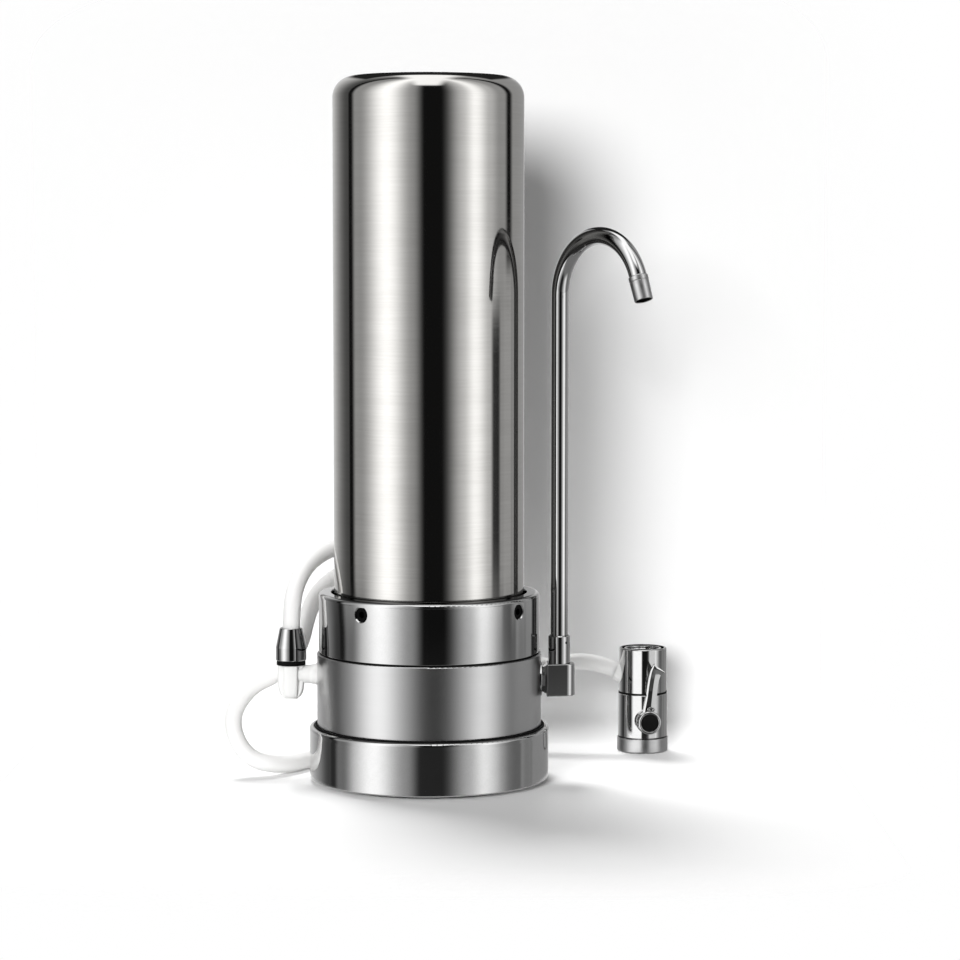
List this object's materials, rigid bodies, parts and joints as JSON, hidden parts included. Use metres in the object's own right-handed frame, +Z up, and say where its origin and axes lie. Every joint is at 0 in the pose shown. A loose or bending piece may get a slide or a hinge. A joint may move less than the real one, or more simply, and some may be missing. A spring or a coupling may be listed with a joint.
{
  "type": "countertop water purifier",
  "caption": "Countertop water purifier: brushed steel dome over a ceramic candle, chrome base and collar, swivel gooseneck spout, white hose and faucet diverter valve.",
  "frame": {"origin": "centre of the foot pad's underside, on the counter", "axes": "+X towards the spout, +Y to the back, +Z up the dome"},
  "size_m": [0.2506, 0.1736, 0.3855],
  "materials": {
    "brushed_dome": "stainless steel brushed round the dome, semi-bright",
    "chrome": "polished chrome plate",
    "satin_body": "satin stainless steel",
    "satin_chrome": "satin chrome plate",
    "steel": "plain zinc-plated screws",
    "black_steel": "black oxide socket screws",
    "brass": "turned brass",
    "black_rubber": "black seal rubber",
    "black_plastic": "black moulded plastic",
    "white_plastic": "white moulded plastic",
    "white_hose": "soft white hose, satin",
    "ceramic": "unglazed white filter ceramic",
    "carbon": "pressed carbon block"
  },
  "bodies": {
    "base": {"foot_pad": "black_rubber", "base_skirt": "chrome", "skirt_seal": "black_rubber", "skirt_screws": "steel", "base_body": "satin_body", "candle_seal": "black_rubber", "candle_mount": "white_plastic", "candle_shell": "ceramic", "candle_core": "carbon", "dome_seal": "black_rubber", "collar_washer": "black_plastic", "outlet_union": "chrome", "union_locknut": "chrome", "spout_block": "chrome", "spout_sleeve": "chrome", "inlet_elbow": "white_plastic", "elbow_plug": "white_plastic", "inlet_seal": "white_plastic", "nut_seal": "black_rubber", "inlet_nut": "chrome", "hose": "white_hose", "port_nut": "white_plastic", "diverter_head": "chrome", "adaptor_washer": "black_rubber", "diverter_body": "chrome"},
    "dome": {"dome_shell": "brushed_dome"},
    "collar": {"collar_ring": "chrome", "collar_screws": "black_steel"},
    "spout": {"spout_tube": "chrome", "spout_nozzle": "chrome", "nozzle_insert": "black_plastic", "spout_foot": "brass", "spout_orings": "black_rubber"},
    "lever": {"lever": "chrome", "lever_cap": "black_plastic", "valve_spindle": "brass", "spindle_oring": "black_rubber"},
    "adaptor": {"faucet_adaptor": "chrome"},
    "aerator": {"aerator_cap": "satin_chrome", "aerator_screen": "black_plastic"}
  },
  "joints": [
    {"name": "dome_lift", "type": "slide", "parent": "base", "child": "dome", "axis": [0, 0, 1], "range_m": [0, 0.27]},
    {"name": "collar_turn", "type": "hinge", "parent": "dome", "child": "collar", "pos_m": [0, 0, 0.088], "axis": [0, 0, 1], "continuous": true},
    {"name": "spout_swivel", "type": "hinge", "parent": "base", "child": "spout", "pos_m": [0.0713, 0, 0.07], "axis": [0, 0, 1], "range_deg": [-45, 175]},
    {"name": "lever_turn", "type": "hinge", "parent": "base", "child": "lever", "pos_m": [0.12518, 0.07359, 0.0194], "axis": [0.1392, -0.9903, 0], "range_deg": [-85, 0]},
    {"name": "adaptor_turn", "type": "hinge", "parent": "base", "child": "adaptor", "pos_m": [0.1224, 0.0934, 0.0573], "axis": [0, 0, 1], "continuous": true},
    {"name": "aerator_turn", "type": "hinge", "parent": "base", "child": "aerator", "pos_m": [0.1224, 0.0934, 0.004], "axis": [0, 0, 1], "continuous": true}
  ]
}
